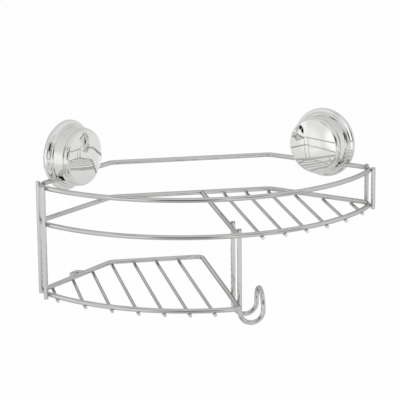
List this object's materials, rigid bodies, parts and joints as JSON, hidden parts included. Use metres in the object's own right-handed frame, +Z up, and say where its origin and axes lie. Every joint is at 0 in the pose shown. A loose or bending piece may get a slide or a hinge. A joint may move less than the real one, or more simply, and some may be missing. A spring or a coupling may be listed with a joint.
{
  "type": "corner shower caddy",
  "caption": "Chromed wire corner rack with a shallow basket beside a lower shelf and a hook, held to two walls by twist-lock suction units.",
  "frame": {"origin": "midway between the centres of the two suction cup faces, 131.8 mm in front of the corner of the walls", "axes": "+Z up, +Y into the corner, +X along the front to the right as seen from the room"},
  "size_m": [0.3296, 0.1931, 0.1793],
  "materials": {
    "chromed_wire": "polished chrome plate on steel wire",
    "chromed_plastic": "polished chrome plate on moulded plastic",
    "soft_vinyl": "clear soft vinyl, glossy",
    "white_acetal": "moulded, satin",
    "brass": "machined"
  },
  "bodies": {
    "wire_frame": {"top_rim": "chromed_wire", "middle_rail": "chromed_wire", "lower_shelf_rail": "chromed_wire", "upper_shelf_edge": "chromed_wire", "left_wall_upright": "chromed_wire", "left_front_upright": "chromed_wire", "right_wall_upright": "chromed_wire", "right_front_upright": "chromed_wire", "upper_slat_1": "chromed_wire", "upper_slat_2": "chromed_wire", "upper_slat_3": "chromed_wire", "upper_slat_4": "chromed_wire", "upper_slat_5": "chromed_wire", "upper_slat_6": "chromed_wire", "lower_slat_1": "chromed_wire", "lower_slat_2": "chromed_wire", "lower_slat_3": "chromed_wire", "lower_slat_4": "chromed_wire", "lower_slat_5": "chromed_wire", "lower_slat_6": "chromed_wire", "lower_slat_7": "chromed_wire", "hook": "chromed_wire", "wall_spacer": "chromed_wire"},
    "left_unit": {"left_housing": "chromed_plastic", "left_suction_cup": "soft_vinyl", "left_thrust_washer": "white_acetal"},
    "left_twist_knob": {"left_knob": "chromed_plastic", "left_lift_nut": "brass"},
    "left_draw_stem": {"left_stem": "white_acetal"},
    "right_unit": {"right_housing": "chromed_plastic", "right_suction_cup": "soft_vinyl", "right_thrust_washer": "white_acetal"},
    "right_twist_knob": {"right_knob": "chromed_plastic", "right_lift_nut": "brass"},
    "right_draw_stem": {"right_stem": "white_acetal"}
  },
  "joints": [
    {"name": "left_unit_slide", "type": "slide", "parent": "wire_frame", "child": "left_unit", "axis": [0.7071, 0.7071, 0], "range_m": [-0.02, 0.02]},
    {"name": "left_knob_turn", "type": "hinge", "parent": "left_unit", "child": "left_twist_knob", "pos_m": [-0.1318, 0, 0], "axis": [-0.7071, 0.7071, 0], "range_deg": [0, 100]},
    {"name": "left_stem_draw", "type": "slide", "parent": "left_unit", "child": "left_draw_stem", "axis": [0.7071, -0.7071, 0], "range_m": [0, 0.0039], "deforming": ["left_suction_cup"]},
    {"name": "right_unit_slide", "type": "slide", "parent": "wire_frame", "child": "right_unit", "axis": [-0.7071, 0.7071, 0], "range_m": [-0.02, 0.02]},
    {"name": "right_knob_turn", "type": "hinge", "parent": "right_unit", "child": "right_twist_knob", "pos_m": [0.1318, 0, 0], "axis": [0.7071, 0.7071, 0], "range_deg": [0, 100]},
    {"name": "right_stem_draw", "type": "slide", "parent": "right_unit", "child": "right_draw_stem", "axis": [-0.7071, -0.7071, 0], "range_m": [0, 0.0039], "deforming": ["right_suction_cup"]}
  ],
  "couplings": [
    {"joint": "left_stem_draw", "follows": "left_knob_turn", "m_per_rad": 0.002228},
    {"joint": "right_stem_draw", "follows": "right_knob_turn", "m_per_rad": 0.002228}
  ]
}
